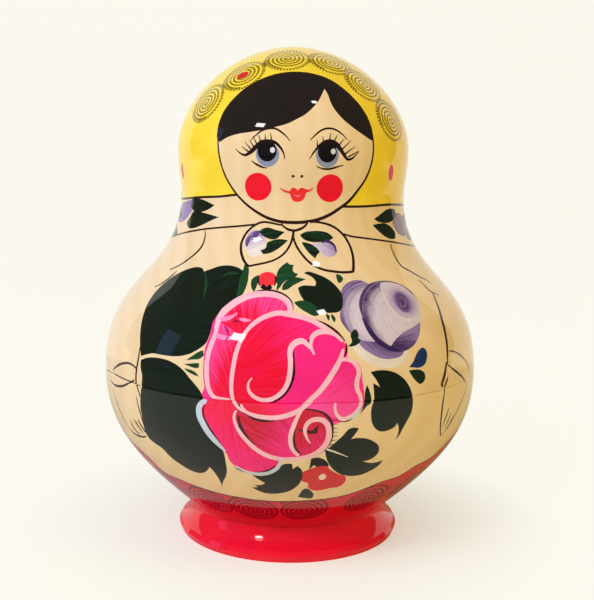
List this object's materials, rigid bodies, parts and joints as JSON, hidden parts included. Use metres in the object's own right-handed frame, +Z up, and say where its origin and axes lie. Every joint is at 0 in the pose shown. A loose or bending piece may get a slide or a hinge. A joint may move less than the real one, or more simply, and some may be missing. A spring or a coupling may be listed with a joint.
{
  "type": "matryoshka nesting doll",
  "caption": "Squat turned wooden nesting doll with a round head, wide belly and flared foot, each hollow doll opening at its belly seam to hold a smaller one.",
  "frame": {"origin": "centre of the flat base, on the surface the doll stands on", "axes": "+Z up along the turning axis, -Y towards the painted face"},
  "size_m": [0.1916, 0.1916, 0.25],
  "materials": {
    "painted_lower_half": "gouache painting under clear gloss lacquer outside, bare turned lime wood inside",
    "painted_upper_half": "gouache painting under clear gloss lacquer outside, bare turned lime wood inside",
    "painted_solid_doll": "gouache painting under clear gloss lacquer"
  },
  "bodies": {
    "doll_01_bottom": {"doll_01_bottom": "painted_lower_half"},
    "doll_01_top": {"doll_01_top": "painted_upper_half"},
    "doll_02_bottom": {"doll_02_bottom": "painted_lower_half"},
    "doll_02_top": {"doll_02_top": "painted_upper_half"},
    "doll_03_bottom": {"doll_03_bottom": "painted_lower_half"},
    "doll_03_top": {"doll_03_top": "painted_upper_half"},
    "doll_04_bottom": {"doll_04_bottom": "painted_lower_half"},
    "doll_04_top": {"doll_04_top": "painted_upper_half"},
    "doll_05_bottom": {"doll_05_bottom": "painted_lower_half"},
    "doll_05_top": {"doll_05_top": "painted_upper_half"},
    "doll_06_bottom": {"doll_06_bottom": "painted_lower_half"},
    "doll_06_top": {"doll_06_top": "painted_upper_half"},
    "doll_07_bottom": {"doll_07_bottom": "painted_lower_half"},
    "doll_07_top": {"doll_07_top": "painted_upper_half"},
    "doll_08_bottom": {"doll_08_bottom": "painted_lower_half"},
    "doll_08_top": {"doll_08_top": "painted_upper_half"},
    "doll_09_bottom": {"doll_09_bottom": "painted_lower_half"},
    "doll_09_top": {"doll_09_top": "painted_upper_half"},
    "doll_10": {"doll_10": "painted_solid_doll"}
  },
  "joints": [
    {"name": "doll_02_lift_out", "type": "slide", "parent": "doll_01_bottom", "child": "doll_02_bottom", "axis": [0, 0, 1], "range_m": [0, 0.0861]},
    {"name": "doll_03_lift_out", "type": "slide", "parent": "doll_02_bottom", "child": "doll_03_bottom", "axis": [0, 0, 1], "range_m": [0, 0.06888]},
    {"name": "doll_04_lift_out", "type": "slide", "parent": "doll_03_bottom", "child": "doll_04_bottom", "axis": [0, 0, 1], "range_m": [0, 0.0551]},
    {"name": "doll_05_lift_out", "type": "slide", "parent": "doll_04_bottom", "child": "doll_05_bottom", "axis": [0, 0, 1], "range_m": [0, 0.04408]},
    {"name": "doll_06_lift_out", "type": "slide", "parent": "doll_05_bottom", "child": "doll_06_bottom", "axis": [0, 0, 1], "range_m": [0, 0.03527]},
    {"name": "doll_07_lift_out", "type": "slide", "parent": "doll_06_bottom", "child": "doll_07_bottom", "axis": [0, 0, 1], "range_m": [0, 0.02821]},
    {"name": "doll_08_lift_out", "type": "slide", "parent": "doll_07_bottom", "child": "doll_08_bottom", "axis": [0, 0, 1], "range_m": [0, 0.02257]},
    {"name": "doll_09_lift_out", "type": "slide", "parent": "doll_08_bottom", "child": "doll_09_bottom", "axis": [0, 0, 1], "range_m": [0, 0.01806]},
    {"name": "doll_10_lift_out", "type": "slide", "parent": "doll_09_bottom", "child": "doll_10", "axis": [0, 0, 1], "range_m": [0, 0.01445]},
    {"name": "doll_09_top_lift_off", "type": "slide", "parent": "doll_10", "child": "doll_09_top", "axis": [0, 0, 1], "range_m": [0, 0.02414]},
    {"name": "doll_08_top_lift_off", "type": "slide", "parent": "doll_09_top", "child": "doll_08_top", "axis": [0, 0, 1], "range_m": [0, 0.03018]},
    {"name": "doll_07_top_lift_off", "type": "slide", "parent": "doll_08_top", "child": "doll_07_top", "axis": [0, 0, 1], "range_m": [0, 0.03772]},
    {"name": "doll_06_top_lift_off", "type": "slide", "parent": "doll_07_top", "child": "doll_06_top", "axis": [0, 0, 1], "range_m": [0, 0.04715]},
    {"name": "doll_05_top_lift_off", "type": "slide", "parent": "doll_06_top", "child": "doll_05_top", "axis": [0, 0, 1], "range_m": [0, 0.05894]},
    {"name": "doll_04_top_lift_off", "type": "slide", "parent": "doll_05_top", "child": "doll_04_top", "axis": [0, 0, 1], "range_m": [0, 0.07368]},
    {"name": "doll_03_top_lift_off", "type": "slide", "parent": "doll_04_top", "child": "doll_03_top", "axis": [0, 0, 1], "range_m": [0, 0.0921]},
    {"name": "doll_02_top_lift_off", "type": "slide", "parent": "doll_03_top", "child": "doll_02_top", "axis": [0, 0, 1], "range_m": [0, 0.11512]},
    {"name": "doll_01_top_lift_off", "type": "slide", "parent": "doll_02_top", "child": "doll_01_top", "axis": [0, 0, 1], "range_m": [0, 0.1439]}
  ]
}
